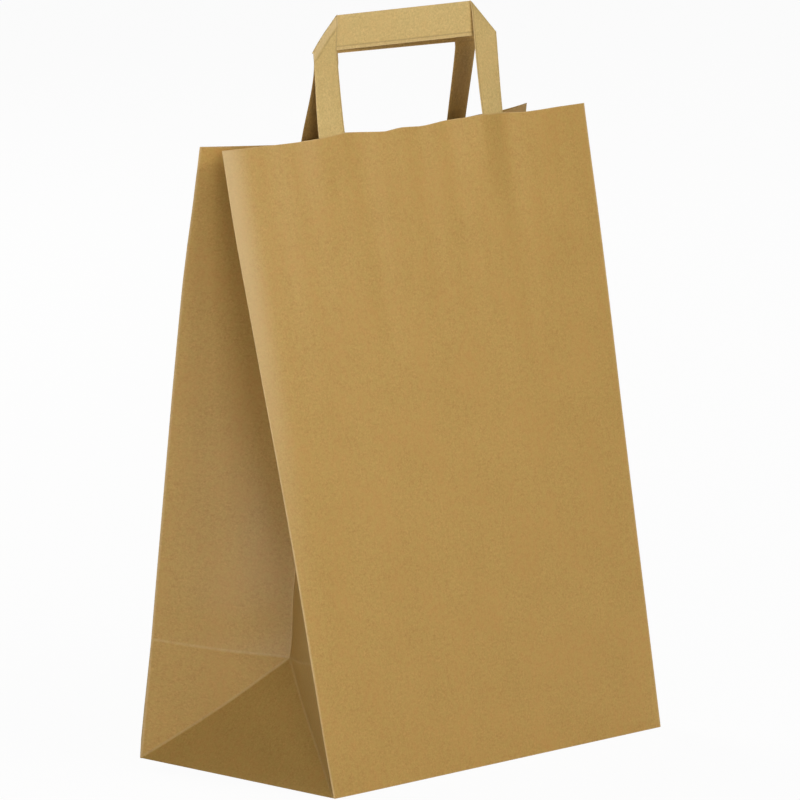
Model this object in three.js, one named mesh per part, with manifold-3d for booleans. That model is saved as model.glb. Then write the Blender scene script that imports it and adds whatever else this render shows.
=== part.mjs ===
// A plain kraft paper carrier bag. One sheet is folded into the body, with V-folded side gussets and a block bottom.
// Each handle is one flat tape, folded over on a 45 degree line at both corners. A glued paper patch holds each
// handle's two ends inside the mouth.
// Millimetres, +Z up. The origin is the middle of the base. The front wall faces -Y, and X runs along it.

import * as THREE from "three";
import { mergeVertices } from "three/addons/utils/BufferGeometryUtils.js";
import Module from "manifold-3d";

const wasm = await Module();
wasm.setup();

// The sheet of the body.
const bagWidth = 320;
const bagDepth = 180;
const wallHeight = 430; // along the wall, from the base fold to the cut rim
const paper = 0.2;
const glueBond = 0.05; // how far glued layers are pressed into each other
const flapOverlap = 12; // each base flap runs this far past the middle of the base
const seamWidth = 18;
const seamX = 110; // the near edge of the lengthwise glue seam on the rear wall

// The mouth stands a little open, more at the right than at the left. Each rim has a Y at its two ends, and bows
// towards the front between them.
const front = { side: -1, left: 0, right: -31, bow: 7 };
const rear = { side: 1, left: 20, right: 23, bow: 17.5 };

// The tape of the handles, in front view: legs, bar and the height of the bar's upper edge over the rim.
const tapeWidth = 22;
const tapeThickness = 0.6;
const handleWidth = 164;
const handleHeight = 80;
const legDepth = 45; // how far a leg runs down inside the mouth
const legClearance = 0.3;
const foldRadius = 0.4; // of the tape's middle surface, where it turns over at a corner
const riseStart = 4; // over the rim, where a leg starts to turn from the wall's slope to the bar's plane
const riseEnd = 52;

// The plane that each handle's bar lies in: the middle of the bar's upper edge, its turn about Z and its lean back.
front.bar = { y: -16.3, z: 504, turn: -4.4, lean: 5.2 };
rear.bar = { y: -3.7, z: 499, turn: 1.9, lean: -5.2 };

// The patches.
const patchWidth = 190;
const patchTop = 4; // below the rim
const patchBottom = 54;
const patchRamp = 3.5; // how wide the patch's slope is beside a leg
const patchRampGap = 1.5; // between a leg's edge and that slope

const halfWidth = bagWidth / 2;
const halfDepth = bagDepth / 2;
const legOuter = handleWidth / 2;
const legInner = legOuter - tapeWidth;
const foldEdge = 3; // a narrow column beside a sharp fold, where the two walls have parted by a paper's thickness

// Lines across the walls where the facets meet, and heights along them.
const halfStations = [halfWidth, halfWidth - foldEdge, 128, seamX, 95, legOuter, legInner, 30];
const stations = [...halfStations.map((x) => -x), 0, ...halfStations.toReversed()];
const heights = [90, 130, 180, 235, 290, 340, 385, wallHeight];
const gussetShares = [0, foldEdge / halfDepth, 0.28, 0.5, 0.72, 1 - foldEdge / halfDepth, 1];

const { lerp, smoothstep, degToRad } = THREE.MathUtils;
const vector = (x, y, z) => new THREE.Vector3(x, y, z);

// How much of the bow a place across the wall has: none at the ends, all of it in the middle.
function hump(x) {
  return 1 - Math.abs(x / halfWidth) ** 3;
}

// The rim's Y on the smooth curve.
function curvedRimY(wall, x) {
  return lerp(wall.left, wall.right, x / bagWidth + 0.5) - wall.bow * hump(x);
}

// The rim's Y on the facets, which run straight from one station to the next.
function rimY(wall, x) {
  const right = Math.max(1, stations.findIndex((station) => station >= x - 1e-9));
  const share = (x - stations[right - 1]) / (stations[right] - stations[right - 1]);
  return lerp(curvedRimY(wall, stations[right - 1]), curvedRimY(wall, stations[right]), share);
}

// The base flap of the front wall lies outside that of the rear wall, so the two walls start at their own heights.
function baseFold(wall, x) {
  return vector(x, wall.side * halfDepth, (wall.side < 0 ? 0.5 : 1.5) * paper);
}

// The direction up the wall at a place across it. Every such line is straight from the base fold to the rim.
function wallRise(wall, x) {
  const across = rimY(wall, x) - wall.side * halfDepth;
  return vector(0, across, Math.sqrt(wallHeight ** 2 - across ** 2)).divideScalar(wallHeight);
}

// A point on a wall, at a height along it and a distance inwards from the middle of the paper.
function wallPoint(wall, x, height, inwards = 0) {
  const rise = wallRise(wall, x);
  const point = baseFold(wall, x).addScaledVector(rise, height);
  const slope = (curvedRimY(wall, x + 1) - curvedRimY(wall, x - 1)) / 2;
  const across = vector(1, (slope * height) / wallHeight, 0);
  const inward = across.cross(rise).normalize().multiplyScalar(wall.side);
  return point.addScaledVector(inward, inwards);
}

// A point on the gusset's middle crease. The crease keeps half a gusset's width from both side folds, and stays
// midway between the front and rear walls.
function creasePoint(side, height) {
  const edge = side * halfWidth;
  const sine = (curvedRimY(front, edge) + halfDepth + halfDepth - curvedRimY(rear, edge)) / 2 / wallHeight;
  const cosine = Math.sqrt(1 - sine ** 2);
  const halfGap = (halfDepth - height * sine) / cosine;
  const x = side * (halfWidth - Math.sqrt(halfDepth ** 2 - halfGap ** 2));
  const y = (wallPoint(front, x, height).y + wallPoint(rear, x, height).y) / 2;
  return vector(x, y, (height - halfDepth * sine) / cosine + paper);
}

// A row of points over one half of a gusset, from the wall's side fold to the middle crease. Between them the half
// follows the bow of its wall.
function gussetRow(wall, side, height) {
  const fold = wallPoint(wall, side * halfWidth, height);
  const crease = creasePoint(side, height);
  const bow = (-wall.bow * height) / wallHeight;
  return gussetShares.map((share) => {
    const point = fold.clone().lerp(crease, share);
    point.y += bow * (hump(point.x) - share * hump(crease.x));
    return point;
  });
}

// Triangles between rows of points, left out where they have no area. Their normals point to the row's right-hand
// side crossed with the next row's direction, or the other way if flipped.
function facets(rows, flipped = false) {
  const triangles = [];
  for (let row = 0; row + 1 < rows.length; row++) {
    for (let column = 0; column + 1 < rows[row].length; column++) {
      const [a, b] = [rows[row][column], rows[row][column + 1]];
      const [d, c] = [rows[row + 1][column], rows[row + 1][column + 1]];
      triangles.push([a, b, c], [a, c, d]);
    }
  }
  const wound = triangles.map((triangle) => (flipped ? triangle.toReversed() : triangle));
  return wound.filter((triangle) => new THREE.Triangle(...triangle).getArea() > 1e-6);
}

// Gives a sheet its thickness. The sheet is a list of triangles on its middle surface. Every corner moves half the
// thickness outwards and inwards along the mitre of the facets that meet there, and a strip closes the free edges.
function thicken(triangles, thickness) {
  const corners = new Map();
  const indices = triangles.map((triangle) =>
    triangle.map((point) => {
      const key = point.toArray().map((value) => value.toFixed(3)).join();
      if (!corners.has(key)) corners.set(key, { index: corners.size, point, normals: [] });
      return corners.get(key);
    }),
  );
  for (const [a, b, c] of indices) {
    const normal = new THREE.Triangle(a.point, b.point, c.point).getNormal(vector(0, 0, 0));
    for (const [corner, next, last] of [[a, b, c], [b, c, a], [c, a, b]]) {
      const one = next.point.clone().sub(corner.point);
      const angle = one.angleTo(last.point.clone().sub(corner.point));
      corner.normals.push({ normal, angle });
    }
  }
  const positions = [];
  for (const way of [1, -1]) {
    for (const { point, normals } of corners.values()) {
      const mitre = vector(0, 0, 0);
      for (const { normal, angle } of normals) mitre.addScaledVector(normal, angle);
      mitre.normalize();
      const facing = Math.max(0.5, ...normals.map(({ normal }) => normal.dot(mitre)));
      positions.push(...point.clone().addScaledVector(mitre, (way * thickness) / 2 / facing).toArray());
    }
  }
  const count = corners.size;
  const faces = [];
  const halfEdges = new Set();
  for (const triangle of indices) {
    const [a, b, c] = triangle.map((corner) => corner.index);
    faces.push(a, b, c, a + count, c + count, b + count);
    for (const edge of [[a, b], [b, c], [c, a]]) halfEdges.add(edge.join());
  }
  for (const edge of halfEdges) {
    const [a, b] = edge.split(",").map(Number);
    if (!halfEdges.has([b, a].join())) faces.push(b, a, a + count, b, a + count, b + count);
  }
  const geometry = new THREE.BufferGeometry();
  geometry.setAttribute("position", new THREE.Float32BufferAttribute(positions, 3));
  return geometry.setIndex(faces);
}

// A closed geometry as a solid that can be joined.
function solidOf(geometry) {
  const bare = geometry.clone();
  bare.deleteAttribute("normal");
  bare.deleteAttribute("uv");
  const merged = mergeVertices(bare, 1e-4);
  return new wasm.Manifold(
    new wasm.Mesh({
      numProp: 3,
      vertProperties: merged.attributes.position.array,
      triVerts: new Uint32Array(merged.index.array),
    }),
  );
}

function geometryOf(solid) {
  const { vertProperties, triVerts } = solid.getMesh();
  const geometry = new THREE.BufferGeometry();
  geometry.setAttribute("position", new THREE.BufferAttribute(vertProperties, 3));
  geometry.setIndex(new THREE.BufferAttribute(triVerts, 1));
  const flat = geometry.toNonIndexed();
  flat.computeVertexNormals();
  return flat;
}

// The front and rear walls and the two gussets, as one ring of facets that is open at the rim and at the base.
function ringFacets() {
  const wallRows = (wall) => [0, ...heights].map((height) => stations.map((x) => wallPoint(wall, x, height)));
  const ring = [...facets(wallRows(front)), ...facets(wallRows(rear), true)];
  for (const side of [-1, 1]) {
    const left = side < 0;
    const frontRows = heights.map((height) => gussetRow(front, side, height));
    const rearRows = heights.map((height) => gussetRow(rear, side, height));
    const apex = creasePoint(side, halfDepth);
    const frontFoot = baseFold(front, side * halfWidth);
    const rearFoot = baseFold(rear, side * halfWidth);
    ring.push(...facets(frontRows, left), ...facets(rearRows, !left));
    // Below the apex the gusset parts into the tilted triangle over the base fold and one beside each wall.
    ring.push(...facets([frontRows[0].map(() => frontFoot), frontRows[0]], left));
    ring.push(...facets([rearRows[0].map(() => rearFoot), rearRows[0]], !left));
    ring.push(...facets([[frontFoot, rearFoot], [apex, apex]], left));
  }
  return ring;
}

// A flat layer of the base, from its outline and the height of its lower face.
function layer(outline, bottom) {
  const shape = new THREE.Shape(outline.map(([x, y]) => new THREE.Vector2(x, y)));
  const geometry = new THREE.ExtrudeGeometry(shape, { depth: paper + glueBond, bevelEnabled: false });
  return solidOf(geometry.translate(0, 0, bottom));
}

// The block bottom. The gussets' ends tuck in first, each corner folds into a triangle below them, and the two long
// flaps close over all with their ends on 45 degree folds, the front one outermost.
function baseLayers() {
  const flapDepth = halfDepth + flapOverlap;
  const flapEnd = halfWidth - flapDepth;
  const flap = (side) => [
    [-halfWidth, side * halfDepth],
    [halfWidth, side * halfDepth],
    [flapEnd, -side * flapOverlap],
    [-flapEnd, -side * flapOverlap],
  ];
  const layers = [layer(flap(-1), 0), layer(flap(1), paper)];
  for (const side of [-1, 1]) {
    const tuck = [
      [side * halfWidth, -halfDepth],
      [side * halfWidth, halfDepth],
      [side * flapEnd, halfDepth],
      [side * flapEnd, -halfDepth],
    ];
    const corner = [
      [side * halfWidth, -halfDepth],
      [side * flapEnd, -halfDepth],
      [side * flapEnd, flapOverlap],
    ];
    layers.push(layer(tuck, 2 * paper), layer(corner, paper));
  }
  return layers;
}

// The lengthwise seam, where one end of the sheet laps over the other on the rear wall.
function seamLap() {
  const lapEnd = 0.5;
  const lapHeights = [lapEnd, ...heights.slice(0, -1), wallHeight - lapEnd];
  const outside = glueBond - paper;
  const rows = lapHeights.map((height) =>
    [seamX, seamX + seamWidth].map((x) => wallPoint(rear, x, height, outside)),
  );
  return solidOf(thicken(facets(rows, true), paper));
}

function bagBody() {
  const ring = solidOf(thicken(ringFacets(), paper));
  return geometryOf([...baseLayers(), seamLap()].reduce((joined, piece) => joined.add(piece), ring));
}

// A point of a handle, by its place across the bag, its height over the rim and its distance inwards. Below the rim
// it lies along the wall, and over it a leg turns smoothly into the plane of the bar.
function handlePoint(wall, x, overRim, inwards) {
  if (overRim <= 0) return wallPoint(wall, x, wallHeight + overRim, inwards);
  const onWallSlope = wallPoint(wall, x, wallHeight, inwards).addScaledVector(wallRise(wall, x), overRim);
  const turn = degToRad(wall.bar.turn);
  const lean = degToRad(wall.bar.lean);
  const across = vector(Math.cos(turn), Math.sin(turn), 0);
  const up = vector(0, -wall.side * Math.sin(lean), Math.cos(lean));
  const inward = across.clone().cross(up).normalize().multiplyScalar(wall.side);
  const inBarPlane = vector(0, wall.bar.y, wall.bar.z)
    .addScaledVector(across, x)
    .addScaledVector(up, overRim - handleHeight)
    .addScaledVector(inward, inwards);
  return onWallSlope.lerp(inBarPlane, smoothstep(overRim, riseStart, riseEnd));
}

// One handle: a flat tape that runs up as a leg, turns over on a 45 degree fold, crosses as the bar behind the legs,
// turns over again and runs down as the other leg. Each row of points lies across the tape. Its first point is on
// the leg's outer edge, which becomes the bar's lower edge past the fold.
function handle(wall) {
  const shares = [0, 0.5, 1];
  const turnSteps = 6;
  const legLevel = paper / 2 + legClearance + tapeThickness / 2;
  const barLevel = legLevel + 2 * foldRadius;
  const barLower = handleHeight - tapeWidth;
  const legLevels = [-legDepth, -legDepth / 2, 0, 8, 16, 24, 32, 40, 48];
  const legRow = (side, overRim) =>
    shares.map((share) => handlePoint(wall, side * (legOuter - share * tapeWidth), overRim, legLevel));
  const foldRow = (side, turned) =>
    shares.map((share) => {
      const outwards = (foldRadius * Math.sin(turned)) / Math.SQRT2;
      const x = side * (legOuter - share * tapeWidth + outwards);
      const level = lerp(legLevel, barLevel, (1 - Math.cos(turned)) / 2);
      return handlePoint(wall, x, barLower + share * tapeWidth + outwards, level);
    });
  const barRow = (x) => shares.map((share) => handlePoint(wall, x, barLower + share * tapeWidth, barLevel));
  const turns = Array.from({ length: turnSteps + 1 }, (_, step) => (Math.PI * step) / turnSteps);
  const rows = [
    ...legLevels.map((overRim) => legRow(-1, overRim)),
    ...turns.map((turned) => foldRow(-1, turned)),
    ...[-40, -20, 0, 20, 40].map(barRow),
    ...turns.toReversed().map((turned) => foldRow(1, turned)),
    ...legLevels.toReversed().map((overRim) => legRow(1, overRim)),
  ];
  return thicken(facets(rows, wall.side < 0), tapeThickness);
}

// The patch lies on the wall and steps up over each leg.
function patch(wall) {
  const onWall = paper + legClearance;
  const onLeg = onWall + tapeThickness + legClearance;
  const rampStart = patchRampGap + patchRamp;
  const profile = [
    [patchWidth / 2, onWall],
    [legOuter + rampStart, onWall],
    [legOuter + patchRampGap, onLeg],
    [legOuter, onLeg],
    [legInner, onLeg],
    [legInner - patchRampGap, onLeg],
    [legInner - rampStart, onWall],
    [30, onWall],
  ];
  const mirrored = profile.map(([x, level]) => [-x, level]);
  const columns = [...mirrored, [0, onWall], ...profile.toReversed()];
  const middle = (patchTop + patchBottom) / 2;
  const rows = [patchBottom, middle, patchTop].map((belowRim) =>
    columns.map(([x, level]) => wallPoint(wall, x, wallHeight - belowRim, level)),
  );
  return thicken(facets(rows, wall.side > 0), paper);
}

const kraft = new THREE.MeshStandardMaterial({ color: 0xb48e56, roughness: 0.85, metalness: 0 });
const tapeKraft = new THREE.MeshStandardMaterial({ color: 0xc6a468, roughness: 0.82, metalness: 0 });
const patchKraft = new THREE.MeshStandardMaterial({ color: 0xa88350, roughness: 0.88, metalness: 0 });

function named(name, geometry, material) {
  const mesh = new THREE.Mesh(geometry, material);
  mesh.name = name;
  return mesh;
}

const bag = new THREE.Group();
bag.add(named("bag_body", bagBody(), kraft));
bag.add(named("front_handle", handle(front), tapeKraft));
bag.add(named("rear_handle", handle(rear), tapeKraft));
bag.add(named("front_handle_patch", patch(front), patchKraft));
bag.add(named("rear_handle_patch", patch(rear), patchKraft));

export default bag;
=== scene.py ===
"""A plain kraft paper carrier bag with a block bottom, V-folded gussets and flat folded-tape handles.

The bag is one folded sheet, worked out as a surface of two lengths on the flat paper: how far round the bag and how
far up. The handles are flat tapes of glued plies, turned over on a 45 degree line at both corners. Metres, +Z up.
"""

import logging
import math
from collections.abc import Callable
from dataclasses import dataclass
from enum import Enum
from functools import cached_property

import bpy
import numpy as np
from mathutils import Matrix, Vector


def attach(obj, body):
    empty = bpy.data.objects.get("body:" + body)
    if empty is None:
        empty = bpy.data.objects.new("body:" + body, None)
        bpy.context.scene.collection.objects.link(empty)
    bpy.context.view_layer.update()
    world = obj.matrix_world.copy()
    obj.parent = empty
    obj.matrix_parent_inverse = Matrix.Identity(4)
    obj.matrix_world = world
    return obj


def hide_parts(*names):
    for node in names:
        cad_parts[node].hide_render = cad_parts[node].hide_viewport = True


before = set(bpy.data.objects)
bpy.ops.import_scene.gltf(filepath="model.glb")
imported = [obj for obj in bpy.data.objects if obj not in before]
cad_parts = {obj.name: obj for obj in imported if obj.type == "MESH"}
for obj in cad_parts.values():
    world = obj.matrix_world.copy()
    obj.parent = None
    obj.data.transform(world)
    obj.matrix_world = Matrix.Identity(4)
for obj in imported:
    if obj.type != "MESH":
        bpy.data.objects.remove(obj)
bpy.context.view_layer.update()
LOG = logging.getLogger("carrier_bag")
UV_MAP = "flat_sheet"
WIDTH, DEPTH, HEIGHT = 0.320, 0.180, 0.430  # a wall's width, the bag's depth and a wall's length
GIRTH = 2 * (WIDTH + DEPTH)
TAPE_WIDTH = 0.0236
LEG_PLY, BAR_PLY = 0.0010, 0.0025  # how far a ply's edge is from the tape's edge, on either face
TAPE_RISE, TAPE_END = 0.080, 0.045  # how far a handle stands over the rim, and how far its ends go below it

Array = np.ndarray
Colour = tuple[float, float, float]
Triple = tuple[float, float, float]


# --- Number helpers ---


def between(start: Array | float, end: Array | float, share: Array | float) -> Array:
    """The value that share of the way from start to end."""
    return start + (end - start) * share


def smooth_step(value: Array, low: float, high: float) -> Array:
    """0 below low, 1 above high, and 3t^2 - 2t^3 between them, where t is the share of the way."""
    share = np.clip((value - low) / (high - low), 0.0, 1.0)
    return share * share * (3.0 - 2.0 * share)


def stacked(x: Array, y: Array, z: Array) -> Array:
    """Points from their three coordinates, which may be of any shapes that broadcast."""
    return np.stack(np.broadcast_arrays(x, y, z), axis=-1).astype(float)


def unit(vectors: Array) -> Array:
    """The vectors at length 1."""
    return vectors / np.maximum(np.linalg.norm(vectors, axis=-1, keepdims=True), 1e-12)


def merged(*parts: Array | tuple[float, ...]) -> Array:
    """The places of all parts in order, to a thousandth of a millimetre and each only once."""
    return np.unique(np.round(np.concatenate(parts), 6))


def bell(value: Array, middle: float, reach: float) -> Array:
    """e^(-d^2), where d is the distance from the middle in reaches."""
    return np.exp(-(((value - middle) / reach) ** 2))


def fade_out(value: Array, reach: float) -> Array:
    """1 at 0 and 0 past the reach, with the square of a cosine between them."""
    return np.cos(np.pi / 2 * np.clip(value / reach, 0.0, 1.0)) ** 2


@dataclass(frozen=True)
class Table:
    """Offsets in millimetres at places in millimetres, with straight lines between them."""

    places: tuple[float, ...]
    offsets: tuple[float, ...]

    def at(self, place: Array) -> Array:
        """The offset at a place, both in metres."""
        return np.interp(place * 1000.0, self.places, self.offsets) / 1000.0


# --- Meshes ---


@dataclass
class Shell:
    """A closed triangle mesh with a place on the flat paper for every corner of every triangle."""

    points: Array
    triangles: Array
    places: Array

    def outward(self) -> "Shell":
        """The same shell with its triangles wound so that they face outwards.

        The volume is the sum of the tetrahedra from the origin to each triangle. It is negative when inside out.

        Returns:
            The shell, turned round if its volume was negative.
        """
        a, b, c = (self.points[self.triangles[:, corner]] for corner in range(3))
        if np.einsum("ij,ij->i", a, np.cross(b, c)).sum() < 0:
            return Shell(self.points, self.triangles[:, ::-1], self.places[:, ::-1])
        return self

    def joined(self, other: "Shell") -> "Shell":
        """This shell and the other one as a single mesh."""
        return Shell(
            np.concatenate([self.points, other.points]),
            np.concatenate([self.triangles, other.triangles + len(self.points)]),
            np.concatenate([self.places, other.places]),
        )


@dataclass
class PaperGrid:
    """A sheet of paper as a grid of points on its middle surface.

    Rows run up the sheet and columns across it. A closed grid joins its last column to its first. The outward side
    is the column direction crossed with the row direction.
    """

    points: Array
    across: Array
    up: Array
    thickness: float
    closed: bool = False
    rising: Array | None = None

    def _corners(self) -> tuple[Array, Array]:
        """Works out the triangles of the grid.

        Each cell is cut along one of its diagonals: from low left to high right where rising is true, and from high
        left to low right elsewhere.

        Returns:
            The rows and the columns of the triangles' corners, each an array of (triangles, 3).
        """
        rows = self.points.shape[0] - 1
        columns = self.points.shape[1] - (0 if self.closed else 1)
        row, column = (part.ravel() for part in np.mgrid[0:rows, 0:columns])
        rising = np.ones((rows, columns), bool) if self.rising is None else self.rising
        cut = np.where(rising.ravel()[:, None, None], [[[0, 1, 3], [0, 3, 2]]], [[[0, 1, 2], [1, 3, 2]]])
        cut = cut.reshape(len(row) * 2, 3)
        row, column = np.repeat(row, 2)[:, None], np.repeat(column, 2)[:, None]
        return row + cut // 2, column + cut % 2

    def normals(self) -> Array:
        """The outward direction at every point, from the central differences of the points along both ways."""
        ahead, behind = np.roll(self.points, -1, axis=1), np.roll(self.points, 1, axis=1)
        along = ahead - behind if self.closed else np.gradient(self.points, axis=1)
        return unit(np.cross(along, np.gradient(self.points, axis=0)))

    def shell(self) -> Shell:
        """Gives the sheet its thickness.

        The outer skin is half the thickness along the normals, the inner skin is half of it the other way and is
        wound the other way round. A strip closes each free edge: every triangle with two corners on it gets two
        more behind it, wound against it along that side.

        Returns:
            The closed shell.
        """
        count = self.points.shape[1]
        total = self.points.shape[0] * count
        offset = self.normals() * self.thickness / 2
        row, column = self._corners()
        outer = row * count + column % count
        triangles = [outer, outer[:, ::-1] + total]
        places = np.stack([self.across[column], self.up[row]], axis=-1)
        uvs = [places, places[:, ::-1]]
        edges = [row == 0, row == self.points.shape[0] - 1]
        if not self.closed:
            edges += [column == 0, column == count - 1]
        for edge in edges:
            for first, second in ((0, 1), (1, 2), (2, 0)):
                on_edge = edge[:, first] & edge[:, second]
                a, b = outer[on_edge, first], outer[on_edge, second]
                at_a, at_b = places[on_edge, first], places[on_edge, second]
                triangles += [np.stack([b, a, a + total], axis=-1), np.stack([b, a + total, b + total], axis=-1)]
                uvs += [np.stack([at_b, at_a, at_a], axis=1), np.stack([at_b, at_a, at_b], axis=1)]
        points = np.concatenate([(self.points + offset).reshape(-1, 3), (self.points - offset).reshape(-1, 3)])
        return Shell(points, np.concatenate(triangles), np.concatenate(uvs))


def tube(rows: Array, along: Array, across: Array) -> Shell:
    """Closes a band of profiles into a solid.

    Args:
        rows: Points of (rows, profile, 3). Each row is the same closed profile, carried along.
        along: How far along the tape each row is, of (rows, profile).
        across: How far across the tape each point of the profile is.

    Returns:
        The band as a closed shell, with a fan over each end.
    """
    count, size = rows.shape[:2]
    row, column = (part.ravel() for part in np.mgrid[0 : count - 1, 0:size])
    following = (column + 1) % size
    low, high = row * size, (row + 1) * size
    band = np.concatenate(
        [
            np.stack([low + column, low + following, high + following], axis=-1),
            np.stack([low + column, high + following, high + column], axis=-1),
        ]
    )
    around = np.arange(size)
    after = (around + 1) % size
    start = np.stack([np.full(size, count * size), after, around], axis=-1)
    last = (count - 1) * size
    end = np.stack([np.full(size, count * size + 1), around + last, after + last], axis=-1)
    points = np.concatenate([rows.reshape(-1, 3), rows[:1].mean(axis=1), rows[-1:].mean(axis=1)])
    places = np.concatenate(
        [
            np.stack([along.ravel(), np.tile(across, count)], axis=-1),
            [[along[0].mean(), across.mean()], [along[-1].mean(), across.mean()]],
        ]
    )
    triangles = np.concatenate([band, start, end])
    return Shell(points, triangles, places[triangles]).outward()


def added(name: str, data: bpy.types.ID) -> bpy.types.Object:
    """Puts a new object into the scene.

    Args:
        name: Its name.
        data: Its mesh, lamp or camera.

    Returns:
        The object, at the origin.
    """
    new = bpy.data.objects.new(name, data)
    bpy.context.scene.collection.objects.link(new)
    return new


def piece_from(name: str, shell: Shell, sharp_angle: float = 50.0) -> bpy.types.Object:
    """Puts a shell into the scene as one object at the origin.

    Args:
        name: The piece's name.
        shell: Its closed mesh.
        sharp_angle: The angle in degrees past which an edge stays sharp.

    Returns:
        The new object, shaded smooth between its sharp edges.
    """
    mesh = bpy.data.meshes.new(name)
    count = len(shell.triangles)
    mesh.vertices.add(len(shell.points))
    mesh.vertices.foreach_set("co", shell.points.astype(np.float32).ravel())
    mesh.loops.add(count * 3)
    mesh.loops.foreach_set("vertex_index", shell.triangles.astype(np.int32).ravel())
    mesh.polygons.add(count)
    mesh.polygons.foreach_set("loop_start", np.arange(0, count * 3, 3, dtype=np.int32))
    mesh.update(calc_edges=True)
    mesh.uv_layers.new(name=UV_MAP).data.foreach_set("uv", shell.places.astype(np.float32).ravel())
    mesh.validate()
    mesh.shade_smooth()
    mesh.set_sharp_from_angle(angle=math.radians(sharp_angle))
    return added(name, mesh)


def settle_piece(piece: bpy.types.Object, finish: bpy.types.Material, node: str) -> None:
    """Dresses a piece and ties it to the frame.

    Args:
        piece: The finished object.
        finish: Its material.
        node: The CAD node that it stands for.
    """
    piece.data.materials.append(finish)
    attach(piece, "root")
    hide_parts(node)
    LOG.info("%s: %d triangles", piece.name, len(piece.data.polygons))


# --- Shader maths ---


def operator(operation: str, turned: bool = False) -> Callable[..., "Signal"]:
    """Makes a method that sends a signal, and another value where there is one, through a Math node.

    Args:
        operation: The Math node's operation.
        turned: Whether the other value comes first.

    Returns:
        The method.
    """

    def method(self: "Signal", *others: "Signal | float") -> "Signal":
        """The signal and the other value through the Math node."""
        return self.tree.math(operation, *((*others, self) if turned else (self, *others)))

    return method


@dataclass(frozen=True)
class Signal:
    """A number or vector that runs through a node tree. Its operators add Math nodes."""

    tree: "NodeTree"
    socket: bpy.types.NodeSocket

    __add__ = __radd__ = operator("ADD")
    __sub__ = operator("SUBTRACT")
    __rsub__ = operator("SUBTRACT", turned=True)
    __mul__ = __rmul__ = operator("MULTIPLY")
    __truediv__ = operator("DIVIDE")
    __abs__ = operator("ABSOLUTE")
    lower_of = operator("MINIMUM")
    higher_of = operator("MAXIMUM")
    above = operator("GREATER_THAN")
    below = operator("LESS_THAN")

    def ramp(self, low: float, high: float, start: float = 0.0, end: float = 1.0) -> "Signal":
        """Maps low to high smoothly onto start to end, and holds the ends."""
        inputs = {"Value": self, "From Min": low, "From Max": high, "To Min": start, "To Max": end}
        return self.tree.node("ShaderNodeMapRange", {"interpolation_type": "SMOOTHSTEP"}, inputs)


class NodeTree:
    """A material's or world's nodes, with one method that adds any node."""

    def __init__(self, owner: bpy.types.Material | bpy.types.World) -> None:
        """Empties the owner's node tree and takes it over."""
        owner.use_nodes = True
        self._tree = owner.node_tree
        self._tree.nodes.clear()

    def node(self, kind: str, settings: dict | None = None, inputs: dict | None = None, output: str = "") -> Signal:
        """Adds one node.

        Args:
            kind: The node's type.
            settings: Its properties, such as a Math node's operation, which are set first.
            inputs: Values or signals by the identifier of the socket.
            output: The identifier of the output that is wanted, or nothing for the first enabled one.

        Returns:
            The output as a signal.
        """
        node = self._tree.nodes.new(kind)
        for name, value in (settings or {}).items():
            setattr(node, name, value)
        sockets = {socket.identifier: socket for socket in node.inputs}
        for name, value in (inputs or {}).items():
            if isinstance(value, Signal):
                self._tree.links.new(value.socket, sockets[name])
            else:
                sockets[name].default_value = value
        wanted = [socket for socket in node.outputs if (socket.identifier == output if output else socket.enabled)]
        return Signal(self, wanted[0] if wanted else None)

    def math(self, operation: str, *values: Signal | float) -> Signal:
        """One Math node on up to three values."""
        names = ("Value", "Value_001", "Value_002")
        return self.node("ShaderNodeMath", {"operation": operation}, dict(zip(names, values)))

    def mix(self, share: Signal | float, first: Signal | Colour, second: Signal | Colour) -> Signal:
        """Mixes two colours.

        Args:
            share: How far from the first to the second.
            first: One colour.
            second: The other one.

        Returns:
            The mixed colour.
        """
        inputs = {"Factor_Float": share}
        for name, colour in (("A_Color", first), ("B_Color", second)):
            inputs[name] = colour if isinstance(colour, Signal) else (*colour, 1.0)
        return self.node("ShaderNodeMix", {"data_type": "RGBA"}, inputs, "Result_Color")

    def stretched(self, place: Signal, scale: Triple, turn: float = 0.0) -> Signal:
        """Stretches a pattern along a direction.

        Args:
            place: The place on the sheet.
            scale: The factors along the turned directions. A small one stretches the pattern.
            turn: The turn about the sheet's normal, in degrees.

        Returns:
            The place turned, then scaled.
        """
        inputs = {"Vector": place, "Angle": math.radians(turn)}
        turned = self.node("ShaderNodeVectorRotate", {"rotation_type": "Z_AXIS"}, inputs)
        return self.node("ShaderNodeVectorMath", {"operation": "MULTIPLY"}, {"Vector": turned, "Vector_001": scale})

    def noise(self, place: Signal, scale: float, detail: float = 2.0, roughness: float = 0.5) -> Signal:
        """Soft noise about 0.5, with a pattern of about 1 / scale."""
        inputs = {"Vector": place, "Scale": scale, "Detail": detail, "Roughness": roughness}
        return self.node("ShaderNodeTexNoise", None, inputs, "Fac")


class Pattern(Enum):
    """What the paper of a piece has been through."""

    FOLDED_SHEET = "folded sheet"
    PLIED_TAPE = "plied tape"
    GLUED_PATCH = "glued patch"


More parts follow.
